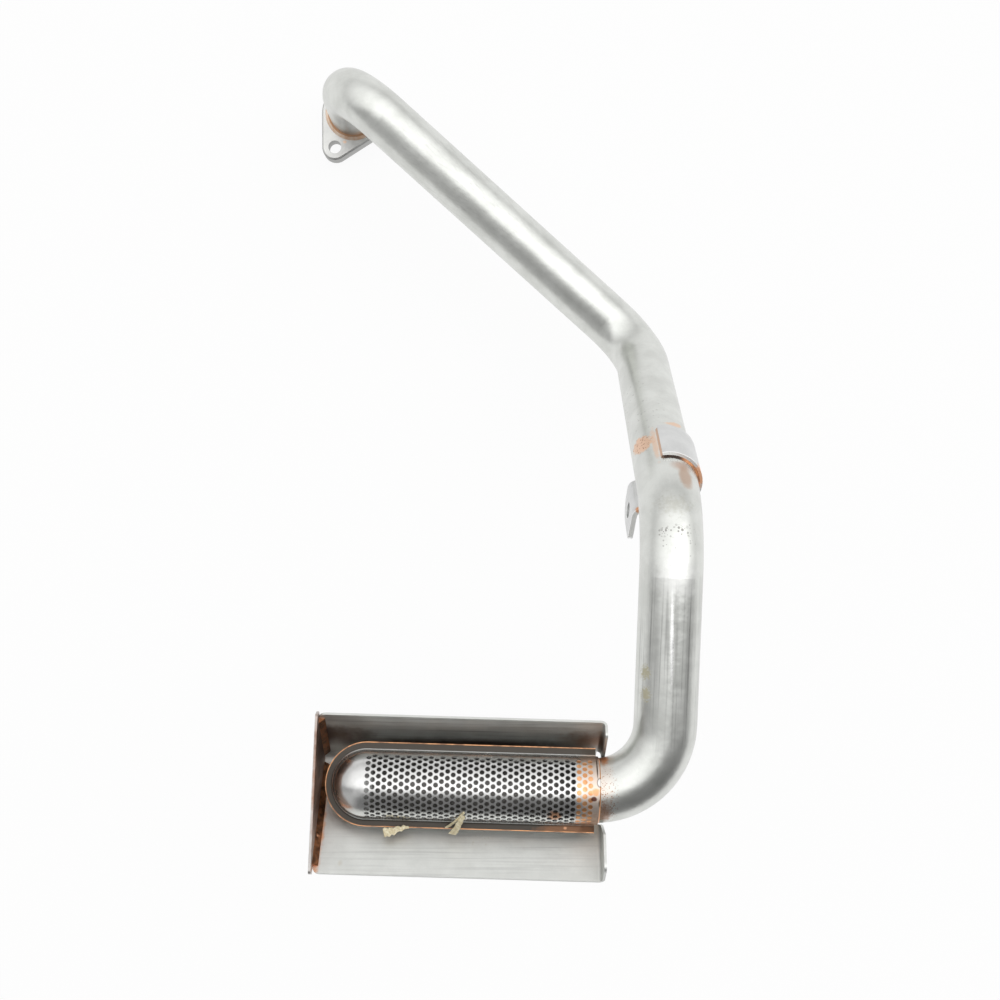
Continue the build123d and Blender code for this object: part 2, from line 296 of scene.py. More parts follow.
class Effects:
    """The surface effects that more than one finish uses, each built once as a node group."""

    def __init__(self) -> None:
        """Builds the groups."""
        self.patch = self._patch()
        self.band = self._band()
        self.specks = self._specks()
        self.grain = self._grain()

    @staticmethod
    def _start(name: str, inputs: dict[str, str], outputs: tuple[str, ...]) -> tuple:
        """Starts a node group with its sockets.

        Args:
            name: the group's name.
            inputs: the kind of each input, by name.
            outputs: the names of its outputs, all plain values.

        Returns:
            The group's tree, its pen, the sockets it is given and the sockets of its result.
        """
        tree = bpy.data.node_groups.new(name, "ShaderNodeTree")
        for given, kind in inputs.items():
            tree.interface.new_socket(given, in_out="INPUT", socket_type="NodeSocket" + kind)
        for result in outputs:
            tree.interface.new_socket(result, in_out="OUTPUT", socket_type="NodeSocketFloat")
        pen = NodePen(tree)
        return tree, pen, pen.node("NodeGroupInput").outputs, pen.node("NodeGroupOutput").inputs

    def _patch(self) -> NodeTree:
        """Builds a stain's mask: full inside an ellipsoid, with a ragged, soft edge.

        Returns:
            The group's tree.
        """
        tree, pen, given, result = self._start(
            "stain_patch",
            {"Position": "Vector", "Centre": "Vector", "Turn": "Vector", "Reach": "Vector",
             "Ragged": "Float", "Grain": "Float", "Soft": "Float"},
            ("Mask",),
        )
        turned = pen.node("ShaderNodeVectorRotate", rotation_type="EULER_XYZ", invert=True)
        away = pen.vector("SUBTRACT", given["Position"], given["Centre"])
        pen.feed(turned.inputs["Vector"], away)
        pen.feed(turned.inputs["Rotation"], given["Turn"])
        away = pen.vector("LENGTH", pen.vector("DIVIDE", turned.outputs["Vector"], given["Reach"]))
        cloud = pen.noise(given["Position"], given["Grain"], 4.0, 0.6)
        wander = pen.math("MULTIPLY", pen.math("SUBTRACT", cloud, 0.5), given["Ragged"])
        edge = pen.math("ADD", away, wander)
        rise = pen.math("DIVIDE", pen.math("SUBTRACT", 1.0, edge), given["Soft"])
        mask = pen.math("SMOOTH_MIN", pen.math("MAXIMUM", rise, 0.0), 1.0, clamp=True)
        pen.feed(result["Mask"], mask)
        return tree

    def _band(self) -> NodeTree:
        """Builds a film's mask: full between two levels along an axis, with a wandering edge.

        Returns:
            The group's tree.
        """
        tree, pen, given, result = self._start(
            "stain_band",
            {"Position": "Vector", "Origin": "Vector", "Axis": "Vector", "Low": "Float",
             "High": "Float", "Ragged": "Float", "Grain": "Float", "Soft": "Float"},
            ("Mask",),
        )
        away = pen.vector("SUBTRACT", given["Position"], given["Origin"])
        level = pen.vector("DOT_PRODUCT", away, given["Axis"])
        cloud = pen.noise(given["Position"], given["Grain"], 3.0, 0.5)
        wander = pen.math("MULTIPLY", pen.math("SUBTRACT", cloud, 0.5), given["Ragged"])
        level = pen.math("ADD", level, wander)
        above, below = (
            pen.math("DIVIDE", pen.math("SUBTRACT", *pair), given["Soft"], clamp=True)
            for pair in ((level, given["Low"]), (given["High"], level))
        )
        pen.feed(result["Mask"], pen.math("MULTIPLY", above, below, clamp=True))
        return tree

    def _specks(self) -> NodeTree:
        """Builds scattered round specks: one in a share of the cells, of about the given size.

        Returns:
            The group's tree.
        """
        tree, pen, given, result = self._start(
            "scattered_specks",
            {"Position": "Vector", "Grain": "Float", "Size": "Float", "Share": "Float"},
            ("Mask",),
        )
        cells = pen.node("ShaderNodeTexVoronoi", voronoi_dimensions="3D", feature="F1")
        pen.feed(cells.inputs["Vector"], given["Position"])
        pen.feed(cells.inputs["Scale"], given["Grain"])
        split = pen.node("ShaderNodeSeparateColor")
        pen.feed(split.inputs["Color"], cells.outputs["Color"])
        size = pen.math("MULTIPLY", given["Size"], pen.math("ADD", split.outputs["Green"], 0.4))
        reach = pen.math("DIVIDE", cells.outputs["Distance"], size)
        dot = pen.math("SUBTRACT", 1.0, reach, clamp=True)
        dot = pen.math("MULTIPLY", dot, 3.0, clamp=True)
        kept = pen.math("LESS_THAN", split.outputs["Red"], given["Share"])
        pen.feed(result["Mask"], pen.math("MULTIPLY", dot, kept, clamp=True))
        return tree

    def _grain(self) -> NodeTree:
        """Builds steel's cloudy tone and fine pits, and drawn lines along the X of Lines.

        Returns:
            The group's tree.
        """
        tree, pen, given, result = self._start(
            "steel_grain", {"Position": "Vector", "Lines": "Vector"}, ("Cloud", "Line", "Pit")
        )
        pen.feed(result["Cloud"], pen.noise(given["Position"], CLOUD_SCALE, 5.0, 0.6))
        stretched = pen.vector("MULTIPLY", given["Lines"], LINE_STRETCH)
        pen.feed(result["Line"], pen.noise(stretched, 1.0, 2.0, 0.5))
        pen.feed(result["Pit"], pen.noise(given["Position"], PIT_SCALE, 2.0, 0.6))
        return tree


class SurfacePen(NodePen):
    """Draws one material of the object."""

    def __init__(self, name: str, effects: Effects) -> None:
        """Starts the material.

        Args:
            name: its name.
            effects: the shared node groups.
        """
        self.material = bpy.data.materials.new(name)
        self.material.use_nodes = True
        super().__init__(self.material.node_tree)
        self.effects = effects
        self.place = self.node("ShaderNodeTexCoord").outputs["Object"]

    def bump(
        self, height: object, distance: float, strength: float = 0.5, normal: object = None
    ) -> Socket:
        """Raises the surface a little.

        Args:
            height: the height's socket.
            distance: how far a height of 1 stands out.
            strength: how much of it shows.
            normal: the normal it is raised from, where that isn't the mesh's own.

        Returns:
            The new normal's socket.
        """
        made = self.node("ShaderNodeBump")
        made.inputs["Strength"].default_value = strength
        made.inputs["Distance"].default_value = distance
        self.feed(made.inputs["Height"], height)
        if normal is not None:
            self.feed(made.inputs["Normal"], normal)
        return made.outputs["Normal"]

    def surface(self, colour: object, rough: object, metal: object, normal: object) -> None:
        """Puts a Principled shader on the material.

        Args:
            colour: its base colour.
            rough: its roughness.
            metal: how metallic it is.
            normal: its normal.
        """
        shader = self.node("ShaderNodeBsdfPrincipled")
        self.feed(shader.inputs["Base Color"], colour)
        self.feed(shader.inputs["Roughness"], rough)
        self.feed(shader.inputs["Metallic"], metal)
        self.feed(shader.inputs["Normal"], normal)
        out = self.node("ShaderNodeOutputMaterial")
        self.feed(out.inputs["Surface"], shader.outputs["BSDF"])


@dataclass(frozen=True)
class Film:
    """A stain, or painted highlight or shade, that lies between two levels along an axis."""

    name: str
    origin: Point
    axis: Point
    low: float
    high: float
    colour: Colour
    strength: float = 1.0
    ragged: float = 0.0
    grain: float = 260.0
    soft: float = 0.0004
    roughness: float = 0.42
    metal: float = 1.0

    def mask(self, pen: SurfacePen) -> Socket:
        """Draws where the film lies.

        Args:
            pen: draws in the material.

        Returns:
            The mask's socket.
        """
        mask = pen.group(
            pen.effects.band, Position=pen.place, Origin=self.origin, Axis=self.axis, Low=self.low,
            High=self.high, Ragged=self.ragged, Grain=self.grain, Soft=self.soft,
        )
        return pen.math("MULTIPLY", mask.outputs["Mask"], self.strength)


@dataclass(frozen=True)
class Stain:
    """One stained place on a surface, or one place of painted highlight or shade, broken into
    specks where it has a share of them.
    """

    name: str
    centre: Point
    reach: Point
    colour: Colour
    strength: float = 0.9
    ragged: float = 0.9
    grain: float = 300.0
    soft: float = 0.4
    roughness: float = 0.42
    metal: float = 1.0
    turn: Point = (0.0, 0.0, 0.0)
    within: Film | None = None
    specks: float = 0.0
    speck_grain: float = 700.0
    speck_size: float = 0.5

    def mask(self, pen: SurfacePen) -> Socket:
        """Draws where the stain lies.

        Args:
            pen: draws in the material.

        Returns:
            The mask's socket.
        """
        mask = pen.group(
            pen.effects.patch, Position=pen.place, Centre=self.centre, Turn=self.turn,
            Reach=self.reach, Ragged=self.ragged, Grain=self.grain, Soft=self.soft,
        ).outputs["Mask"]
        if self.specks > 0.0:
            dots = pen.group(
                pen.effects.specks, Position=pen.place, Grain=self.speck_grain,
                Size=self.speck_size, Share=self.specks,
            )
            mask = pen.math("MULTIPLY", mask, dots.outputs["Mask"])
        if self.within is not None:
            mask = pen.math("MULTIPLY", mask, self.within.mask(pen))
        return pen.math("MULTIPLY", mask, self.strength)


@dataclass(frozen=True)
class Lay:
    """A stretch of the steel where lines drawn along it show."""

    along: Point
    centre: Point
    reach: Point
    depth: float

    def lines(self, pen: SurfacePen) -> Socket:
        """Draws the lines.

        Args:
            pen: draws in the material.

        Returns:
            The lines' socket, 0 where none show.
        """
        turned = pen.node("ShaderNodeMapping", vector_type="POINT")
        pen.feed(turned.inputs["Vector"], pen.place)
        onto_x = Vector(self.along).normalized().rotation_difference(Vector((1.0, 0.0, 0.0)))
        turned.inputs["Rotation"].default_value = onto_x.to_euler()
        grain = pen.group(pen.effects.grain, Position=pen.place, Lines=turned.outputs["Vector"])
        where = Stain("lay", self.centre, self.reach, BRIGHT_STEEL, strength=self.depth, ragged=0.6,
                      grain=60.0, soft=0.6)
        line = pen.math("SUBTRACT", grain.outputs["Line"], 0.5)
        return pen.math("MULTIPLY", line, where.mask(pen))


@dataclass(frozen=True)
class SteelFinish:
    """Bare steel as it leaves the brazing furnace."""

    name: str
    colour: Colour
    shade: Colour
    roughness: float
    cloud_roughness: float = 0.08
    line_roughness: float = 0.3
    line_dark: float = 5.0
    pit_dark: float = 0.35
    pit_depth: float = 0.12
    bump: float = 0.00004
    unevenness: float = 0.00025
    uneven_grain: float = 170.0
    lays: tuple[Lay, ...] = ()
    stains: tuple[Stain | Film, ...] = ()

    def material(self, effects: Effects) -> Material:
        """Builds the material.

        Args:
            effects: the shared node groups.

        Returns:
            The material.
        """
        pen = SurfacePen(self.name, effects)
        grain = pen.group(effects.grain, Position=pen.place)
        cloud, pit = grain.outputs["Cloud"], grain.outputs["Pit"]
        line: object = 0.0
        for lay in self.lays:
            line = pen.math("ADD", line, lay.lines(pen))
        fleck = pen.math("SUBTRACT", pit, 0.5)
        tone = pen.math("ADD", pen.fade(cloud, 0.3, 0.7), fleck, clamp=True)
        colour = pen.mix(tone, self.shade, self.colour)
        dark_line = pen.math("MULTIPLY", line, -self.line_dark, clamp=True)
        colour = pen.mix(dark_line, colour, STREAK_AND_SHADE_GREY)
        dark_pit = pen.math("MULTIPLY", pen.fade(pit, 0.60, 0.80), self.pit_dark)
        colour = pen.mix(dark_pit, colour, STREAK_AND_SHADE_GREY)
        uneven = pen.math("MULTIPLY", cloud, self.cloud_roughness)
        rough = pen.math("ADD", self.roughness - self.cloud_roughness / 2, uneven)
        rough = pen.math("ADD", rough, pen.math("MULTIPLY", line, self.line_roughness))
        metal: object = 1.0
        for stain in self.stains:
            mask = stain.mask(pen)
            colour = pen.mix(mask, colour, stain.colour)
            change = pen.math("MULTIPLY", mask, stain.roughness - self.roughness)
            rough = pen.math("ADD", rough, change)
            if stain.metal < 1.0:
                loss = pen.math("MULTIPLY", mask, 1.0 - stain.metal)
                metal = pen.math("SUBTRACT", metal, loss, clamp=True)
        swell = pen.bump(pen.noise(pen.place, self.uneven_grain, 2.0, 0.5), self.unevenness)
        height = pen.math("ADD", line, pen.math("MULTIPLY", pit, self.pit_depth))
        pen.surface(colour, rough, metal, pen.bump(height, self.bump, normal=swell))
        return pen.material


@dataclass(frozen=True)
class CopperFinish:
    """Copper that has run in a furnace: bright where it is thick, brown where it is thin."""

    name: str
    bright: Colour
    dull: Colour
    roughness: float
    cloud_scale: float = 180.0
    cloud_roughness: float = 0.2
    pit_depth: float = 0.3
    bump: float = 0.00015
    bump_strength: float = 0.6
    stains: tuple[Stain | Film, ...] = ()

    def material(self, effects: Effects) -> Material:
        """Builds the material.

        Args:
            effects: the shared node groups.

        Returns:
            The material.
        """
        pen = SurfacePen(self.name, effects)
        cloud = pen.noise(pen.place, self.cloud_scale, 4.0, 0.6)
        colour = pen.mix(pen.fade(cloud, 0.62, 0.36), self.bright, self.dull)
        for stain in self.stains:
            colour = pen.mix(stain.mask(pen), colour, stain.colour)
        uneven = pen.math("MULTIPLY", cloud, self.cloud_roughness)
        rough = pen.math("ADD", self.roughness - 0.08, uneven)
        pit = pen.group(effects.grain, Position=pen.place).outputs["Pit"]
        height = pen.math("ADD", cloud, pen.math("MULTIPLY", pit, self.pit_depth))
        pen.surface(colour, rough, 1.0, pen.bump(height, self.bump, self.bump_strength))
        return pen.material


def dress(frame: dict, effects: Effects, node: str, finish: SteelFinish | CopperFinish) -> None:
    """Gives a node of the frame its finish.

    Args:
        effects: the shared node groups.
        node: the node's name.
        finish: the finish it takes.
    """
    material = finish.material(effects)
    mesh = frame["nodes"][node].data
    mesh.materials.clear()
    mesh.materials.append(material)
    log.info("dressed %s in %s", node, material.name)


@dataclass
class Pipe:
    """The bent pipe: copper stains from the brazed joints, and painted highlight and shade."""

    drop_run: Point = (-0.033, -0.998, -0.045)
    long_run: Point = (0.745, -0.64, 0.19)
    speckle: Colour = (0.2, 0.19, 0.18)

    def _lays(self) -> tuple[Lay, ...]:
        """Lists where the drawn lines show.

        Returns:
            The stretches with lines.
        """
        return (
            Lay(self.drop_run, (0.219, -0.405, 0.285), (0.03, 0.065, 0.03), depth=0.8),
            Lay(self.long_run, (0.1, -0.085, 0.13), (0.1, 0.1, 0.05), depth=0.3),
        )

    def _stains(self) -> tuple[Stain, ...]:
        """Lists the pipe's stains, painted highlights and painted shade, from the flange to the
        strainer's mouth.

        Returns:
            The stains.
        """
        return (
            Stain("riser_specks", (0.212, -0.245, 0.19), (0.02, 0.05, 0.06), self.speckle,
                  strength=0.3, ragged=0.8, grain=260.0, soft=0.45, specks=0.25, speck_grain=420.0,
                  speck_size=0.28),
            Stain("splash", (0.2085, -0.279, 0.231), (0.0095, 0.0072, 0.0125), TAN_COPPER,
                  strength=0.95, ragged=1.1, grain=330.0, soft=0.2),
            Stain("splash_pits", (0.2085, -0.279, 0.231), (0.0095, 0.0072, 0.0125),
                  (0.42, 0.2, 0.11), strength=0.8, ragged=1.1, grain=330.0, soft=0.2, specks=0.8,
                  speck_size=0.38),
            Stain("strap_front", (0.2164, -0.28, 0.241), (0.0024, 0.004, 0.0235), TAN_COPPER,
                  strength=0.7, soft=0.5, turn=RISER_TURN),
            Stain("above_strap", (0.2315, -0.2658, 0.2165), (0.012, 0.0021, 0.005), TAN_COPPER,
                  strength=0.8, grain=280.0, soft=0.3),
            Stain("below_strap", (0.23, -0.294, 0.2635), (0.0092, 0.0052, 0.007), (0.6, 0.46, 0.38),
                  ragged=0.5, grain=260.0, soft=0.6),
            Stain("below_strap_tip", (0.231, -0.3008, 0.27), (0.005, 0.0115, 0.0115),
                  (0.54, 0.4, 0.31), strength=0.85, ragged=0.5, grain=260.0),
            Stain("bend_specks", (0.223, -0.339, 0.294), (0.016, 0.018, 0.02), self.speckle,
                  strength=0.5, ragged=0.8, grain=260.0, soft=0.45, specks=0.2, speck_grain=560.0,
                  speck_size=0.32),
            Stain("bend_pits", (0.2215, -0.3325, 0.293), (0.0125, 0.0045, 0.01), self.speckle,
                  strength=0.8, ragged=1.2, grain=260.0, soft=0.45, specks=0.7, speck_grain=600.0),
            Stain("bend_mottle", (0.2225, -0.317, 0.285), (0.013, 0.0075, 0.01), (0.46, 0.45, 0.38),
                  strength=0.4, ragged=3.2, grain=520.0, soft=0.9),
            # painted shade: darkens the pipe's -Y side just above the flange, standing in for the
            # dark surroundings it reflects there
            Stain("painted_shade_under_bend", (0.0, -0.02, 0.045), (0.02, 0.007, 0.045), STREAK_AND_SHADE_GREY,
                  strength=0.6, ragged=0.4, grain=60.0, soft=0.9),
            # painted highlight: near-white colour that carries the bend's highlight on down the top
            # of the drop run
            Stain("painted_highlight_end", (0.2213, -0.36, 0.295), (0.016, 0.016, 0.02), (0.97, 0.97, 0.95),
                  ragged=0.7, grain=260.0, soft=1.0),
            # a shiny seam line down the drop run; its near-white colour is partly a painted
            # highlight
            Stain("seam_and_highlight_line", (0.2195, -0.396, 0.2955), (0.0012, 0.034, 0.01),
                  (0.94, 0.94, 0.93), strength=1.0, ragged=0.5, grain=120.0, roughness=0.2),
            Stain("line_left", (0.217, -0.396, 0.2955), (0.0012, 0.03, 0.01), STREAK_AND_SHADE_GREY,
                  strength=0.5, ragged=0.7, grain=120.0, soft=0.6),
            Stain("line_right", (0.2218, -0.398, 0.2955), (0.0012, 0.034, 0.01), STREAK_AND_SHADE_GREY,
                  strength=0.35, ragged=0.7, grain=120.0, soft=0.6),
            Stain("dark_streak", (0.2108, -0.4, 0.29), (0.0026, 0.048, 0.008), STREAK_AND_SHADE_GREY,
                  strength=0.45, grain=90.0, soft=0.8),
            *(Stain(name, (0.205, y, 0.2873), (0.0034, 0.0048, 0.006), MARK_YELLOW, strength=0.75,
                    ragged=2.6, grain=800.0, soft=0.5, roughness=0.6, metal=0.4)
              for name, y in (("mark_high", -0.416), ("mark_low", -0.429))),
            Stain("mouth_blush", (0.18, -0.478, 0.28), (0.0075, 0.03, 0.03), (0.8, 0.62, 0.5),
                  strength=0.4, grain=260.0, soft=0.7),
            Stain("mouth_top", (0.1812, -0.469, 0.277), (0.003, 0.0045, 0.01), ORANGE_COPPER,
                  ragged=0.8, grain=260.0),
            Stain("mouth_brown", (0.1795, -0.499, 0.287), (0.006, 0.009, 0.012), BROWN_COPPER,
                  strength=0.75, ragged=1.4, grain=500.0, soft=0.5),
            Stain("mouth_specks", (0.1825, -0.49, 0.287), (0.008, 0.02, 0.017), BROWN_COPPER,
                  strength=0.85, ragged=0.8, grain=500.0, soft=0.5, specks=0.75, speck_grain=1100.0,
                  speck_size=0.42),
        )

    def build(self, frame: dict, effects: Effects) -> None:
        """Dresses the pipe.

        Args:
            effects: the shared node groups.
        """
        finish = SteelFinish("drawn_pipe_steel", BRIGHT_STEEL, GREY_STEEL, roughness=0.33,
            lays=self._lays(), stains=self._stains())
        dress(frame, effects, "suction_tube", finish)


@dataclass
class Flange:
    """The bolting flange, with copper bled over its face round the pipe."""

    braze_radius: float = 0.0216
    bleed: float = 0.0004
    rim_height: float = 0.0006

    def build(self, frame: dict, effects: Effects) -> None:
        """Dresses the flange and its copper ring.

        Args:
            effects: the shared node groups.
        """
        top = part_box("flange")[1].z
        reach = self.braze_radius + self.bleed
        stains = (
            Stain("bleed", (0.0, 0.0, top), (reach, reach, 0.002), TAN_COPPER, strength=0.8,
                  ragged=0.12, soft=0.06),
            # painted shade: darker grey over the flange's side walls and hole walls, below its top
            # face
            Film("cut_edge_painted_light", (0.0, 0.0, 0.0), (0.0, 0.0, 1.0), low=-0.01,
                 high=top - self.rim_height, colour=(0.42, 0.42, 0.41), strength=0.9, ragged=0.0004,
                 grain=300.0, roughness=0.5),
            Stain("spot", (-0.0068, -0.0238, top), (0.0018, 0.0014, 0.001), TAN_COPPER,
                  strength=0.8, ragged=0.8, grain=500.0),
        )
        finish = SteelFinish("flange_steel", (0.72, 0.72, 0.7), (0.6, 0.6, 0.585), roughness=0.42,
            stains=stains)
        dress(frame, effects, "flange", finish)
        inner = Film("inner_line", (0.0, 0.0, top), (0.0, 0.0, 1.0), low=0.0019, high=0.02,
                     colour=(0.52, 0.27, 0.14), strength=0.8, ragged=0.0006, grain=400.0)
        copper = CopperFinish("ring_copper", (0.97, 0.8, 0.66), (0.9, 0.62, 0.44), roughness=0.4,
            stains=(inner,))
        dress(frame, effects, "flange_braze", copper)


@dataclass
class Bracket:
    """The strap and its tab, with copper along the strap's edges, a painted highlight on its cut
    edge and painted shadow in the gap.
    """

    def build(self, frame: dict, effects: Effects) -> None:
        """Dresses the bracket and its copper.

        Args:
            effects: the shared node groups.
        """
        stains = (
            # painted highlight: a near-white, half-metal band along the strap's lower cut edge
            Film("cut_edge_painted_light", (0.2435, -0.3022, 0.2488), (-0.008, -0.523, 0.852), low=-0.0012,
                 high=0.02, colour=(0.93, 0.93, 0.92), strength=0.9, ragged=0.0002, grain=300.0,
                 soft=0.0003, roughness=0.3, metal=0.5),
            Stain("lower_edge", (0.2425, -0.2995, 0.251), (0.0085, 0.009, 0.01), (0.85, 0.45, 0.26),
                  strength=0.95, grain=260.0, soft=0.3, metal=0.6),
            Stain("tab_root", (0.2061, -0.32, 0.2362), (0.0022, 0.003, 0.003), ORANGE_COPPER,
                  ragged=0.8, grain=400.0),
        )
        finish = SteelFinish("strap_steel", (0.74, 0.745, 0.74), (0.64, 0.645, 0.64),
            roughness=0.36, stains=stains)
        dress(frame, effects, "bracket", finish)
        edges = (
            # painted shadow: near-black on the copper in the gap under the strap's lower edge
            Stain("painted_gap_shadow", (0.2235, -0.289, 0.2585), (0.01, 0.0045, 0.0055), (0.02, 0.02, 0.02),
                  strength=0.95, ragged=0.4, soft=0.3),
            Stain("front_edge", (0.2181, -0.2781, 0.2409), (0.0035, 0.0035, 0.025),
                  (0.66, 0.46, 0.34), strength=0.85, ragged=0.5, soft=0.3, turn=RISER_TURN),
        )
        copper = CopperFinish("strap_copper", ORANGE_COPPER, BROWN_COPPER, roughness=0.38,
            stains=edges)
        dress(frame, effects, "bracket_braze", copper)


@dataclass
class Strainer:
    """The two halves of the strainer, their lips and the copper that joins them."""

    middle: Point = (0.217, -0.4905, 0.272)
    out_of_lip: Point = (0.004129, 0.139112, 0.990268)
    dome_at: Point = (0.04, -0.4852, 0.272)
    tilt: Point = (-0.13963, 0.0, -0.02967)
    lip_level: float = 0.00135
    inside_radius: float = 0.01965

    def _mouth_stains(self) -> tuple[Stain, ...]:
        """Lists what the copper left at the strainer's mouth.

        Returns:
            The stains, shared by the screen and the copper there.
        """
        return (
            Stain("orange_splash", (0.1752, -0.486, 0.2912), (0.0026, 0.0026, 0.003),
                  (0.92, 0.52, 0.28), strength=0.95, grain=500.0, soft=0.3),
            Stain("dark_corner", (0.1741, -0.4898, 0.2921), (0.0022, 0.0016, 0.003),
                  (0.13, 0.045, 0.03), strength=0.95, ragged=0.7, grain=500.0, soft=0.3),
            Stain("seam_line", (0.1766, -0.472, 0.286), (0.00055, 0.008, 0.014), BURNT_BROWN,
                  ragged=0.25),
            Stain("seam_low", (0.1772, -0.4925, 0.29), (0.0005, 0.003, 0.006), BURNT_BROWN,
                  ragged=0.25),
            Stain("bead_rim", (0.1778, -0.4807, 0.29), (0.002, 0.0031, 0.005), BURNT_BROWN,
                  strength=0.8, ragged=0.2, soft=0.3),
            Stain("bead", (0.1778, -0.4807, 0.29), (0.0014, 0.0023, 0.005), (0.93, 0.92, 0.9),
                  strength=1.0, ragged=0.2, soft=0.2),
        )

    def build(self, frame: dict, effects: Effects) -> None:
        """Dresses the strainer.

        Args:
            effects: the shared node groups.
        """
        # painted reflection: near-black colour on the strainer's flat lip, standing in for the dark
        # surroundings it reflects
        lip = Film("lip_dark_reflection", self.middle, self.out_of_lip, low=-0.003, high=self.lip_level,
                   colour=LIP_REFLECTION_DARK, strength=0.97, ragged=0.0001, grain=500.0, soft=0.0002,
                   roughness=0.45, metal=0.75)
        barrel = Film("barrel", self.dome_at, (0.99956, -0.029666, 0.0), low=0.0, high=1.0,
                      colour=LIP_REFLECTION_DARK, soft=0.0005)
        # painted shade: dark grey inside the strainer's barrel, which darkens the holes
        inside = Stain("inside", self.middle, (5.0, self.inside_radius, self.inside_radius),
                       (0.2, 0.19, 0.18), ragged=0.0, grain=100.0, soft=0.02, roughness=0.5,
                       turn=self.tilt, within=barrel)
        lip_copper = (
            Stain("lip_copper", (0.16, -0.512, 0.276), (0.022, 0.004, 0.004), (0.3, 0.15, 0.08),
                  strength=0.7, ragged=0.8, grain=260.0),
            Stain("lip_dot", (0.158, -0.5109, 0.2761), (0.0012, 0.0009, 0.002), (0.8, 0.46, 0.28),
                  ragged=0.5, grain=400.0),
            Stain("lip_brown", (0.09, -0.515, 0.2765), (0.1, 0.0026, 0.004), (0.12, 0.07, 0.045),
                  strength=0.6, ragged=0.8, grain=200.0, soft=0.5),
        )
        stains = (
            inside,
            Stain("mouth", (0.18, -0.49, 0.272), (0.0165, 0.04, 0.04), (0.78, 0.64, 0.54),
                  strength=0.85, ragged=0.5, soft=0.2),
            Stain("mouth_dark", (0.175, -0.506, 0.28), (0.014, 0.012, 0.014), (0.42, 0.24, 0.15),
                  strength=0.75, ragged=1.0, soft=0.5),
            Stain("spot_low", (0.1514, -0.5006, 0.2881), (0.005, 0.004, 0.006), (0.62, 0.3, 0.15),
                  strength=0.85, ragged=1.4, grain=420.0),
            Stain("spot_high", (0.1014, -0.4827, 0.2916), (0.0011, 0.0015, 0.002), ORANGE_COPPER,
                  strength=0.8, grain=500.0),
            Stain("row_copper", (0.09, -0.5085, 0.279), (0.08, 0.0016, 0.0016), (0.5, 0.3, 0.2),
                  strength=0.5, ragged=1.2, soft=0.5),
            lip,
            *lip_copper,
            *self._mouth_stains(),
        )
        screen = SteelFinish("screen_steel", (0.76, 0.76, 0.75), (0.64, 0.64, 0.63), roughness=0.26,
            stains=stains)
        dress(frame, effects, "strainer_screen", screen)
        back = SteelFinish("back_steel", (0.7, 0.7, 0.69), (0.58, 0.58, 0.57), roughness=0.36,
            stains=stains[:2])
        dress(frame, effects, "strainer_back", back)
        rim = CopperFinish("lip_copper", (0.74, 0.38, 0.19), (0.28, 0.15, 0.09), roughness=0.38)
        dress(frame, effects, "lip_braze", rim)
        seam = CopperFinish("seam_copper", (0.88, 0.48, 0.25), (0.66, 0.31, 0.14), roughness=0.3,
            stains=self._mouth_stains())
        dress(frame, effects, "seam_braze", seam)


@dataclass
class Shield:
    """The bent shield and its end plate, browned by heat and copper, with painted shade behind the
    strainer's lip.
    """

    def build(self, frame: dict, effects: Effects) -> None:
        """Dresses the shield.

        Args:
            effects: the shared node groups.
        """
        inner = Film("inner_side", (0.0893, -0.4452, 0.2763), (-0.023, -0.766, 0.643), low=-0.0006,
                     high=1.0, colour=BURNT_BROWN, soft=0.0002)
        stains = (
            # heat browning on the shield's inner face behind the strainer's lip, made darker there
            # as painted shade
            Stain("burn_and_shade_above_lip", (0.095, -0.4655, 0.2525), (0.1, 0.0085, 0.01), BURNT_BROWN,
                  strength=0.95, ragged=0.3, grain=90.0, soft=0.6, roughness=0.5, within=inner),
            Stain("nose_end", (0.01, -0.4585, 0.259), (0.036, 0.012, 0.014), (0.13, 0.075, 0.05),
                  ragged=0.7, grain=120.0, soft=0.6, within=inner),
            Stain("mouth_end", (0.178, -0.462, 0.26), (0.026, 0.012, 0.015), (0.3, 0.17, 0.11),
                  ragged=0.8, grain=140.0, soft=0.7, within=inner),
            Stain("residue", (0.1069, -0.5182, 0.2712), (0.0085, 0.0045, 0.006), PAPER_YELLOW,
                  strength=0.5, ragged=1.2, grain=500.0, soft=0.5, roughness=0.8, metal=0.2,
                  specks=0.5, speck_grain=520.0, speck_size=0.4),
            Stain("drip", (0.024, -0.5298, 0.283), (0.0018, 0.0018, 0.003), (0.5, 0.44, 0.32),
                  strength=0.3, ragged=1.0, grain=600.0, soft=0.8, roughness=0.5),
            Stain("low_end", (0.0085, -0.508, 0.27), (0.005, 0.04, 0.05), ORANGE_COPPER,
                  grain=220.0, soft=0.45),
        )
        lays = (
            Lay((1.0, 0.0, 0.0), (0.1, -0.53, 0.28), (0.13, 0.04, 0.04), depth=0.25),
            Lay((1.0, 0.0, 0.0), (0.1, -0.452, 0.268), (0.13, 0.02, 0.02), depth=0.5),
        )
        finish = SteelFinish("shield_steel", (0.755, 0.765, 0.74), (0.68, 0.69, 0.665),
            roughness=0.5, lays=lays, stains=stains)
        dress(frame, effects, "shield", finish)
        plate_stains = (
            Stain("inside", (0.0105, -0.49, 0.27), (0.0035, 0.06, 0.05), (0.34, 0.17, 0.1),
                  grain=120.0, soft=0.5, roughness=0.5),
            Stain("dark", (0.01, -0.465, 0.262), (0.006, 0.022, 0.025), (0.1, 0.06, 0.045),
                  strength=0.8, grain=120.0, soft=0.5, roughness=0.5),
        )
        plate = SteelFinish("end_plate_steel", (0.68, 0.66, 0.64), (0.5, 0.47, 0.45),
            roughness=0.42, stains=plate_stains)
        dress(frame, effects, "shield_end_plate", plate)
        copper = CopperFinish("corner_copper", (0.5, 0.22, 0.11), (0.21, 0.105, 0.06),
            roughness=0.34, cloud_scale=200.0)
        dress(frame, effects, "end_plate_braze", copper)
        dress(frame, effects, "saddle_braze", copper)


